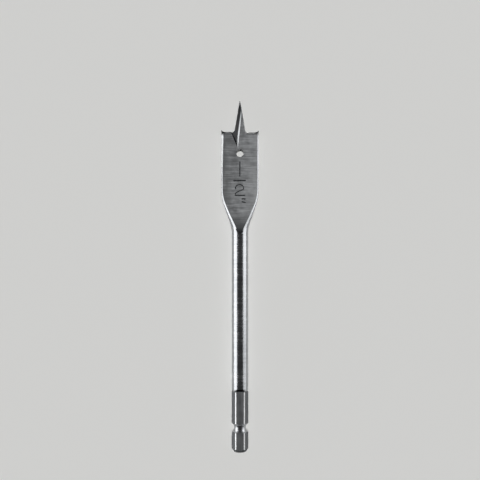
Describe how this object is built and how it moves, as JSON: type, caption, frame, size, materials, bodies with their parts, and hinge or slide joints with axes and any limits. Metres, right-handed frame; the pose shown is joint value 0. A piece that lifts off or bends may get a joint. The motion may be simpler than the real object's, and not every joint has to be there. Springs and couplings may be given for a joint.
{
  "type": "spade drill bit",
  "caption": "Flat wood-boring bit with a hex quick-change end, round shank, forged neck and a ground blade with spurs, relieved lips, a pocketed centre point and a hole.",
  "frame": {"origin": "centre of the drive end's flat face, on the bit's axis", "axes": "+Y along the axis from the drive end to the tip, +Z out of the front face of the blade, +X across the blade; the bit lies on its round shank"},
  "size_m": [0.016, 0.15, 0.007],
  "materials": {
    "steel": "ground and drawn steel, satin"
  },
  "bodies": {
    "root": {"spade_bit": "steel"}
  },
  "joints": []
}
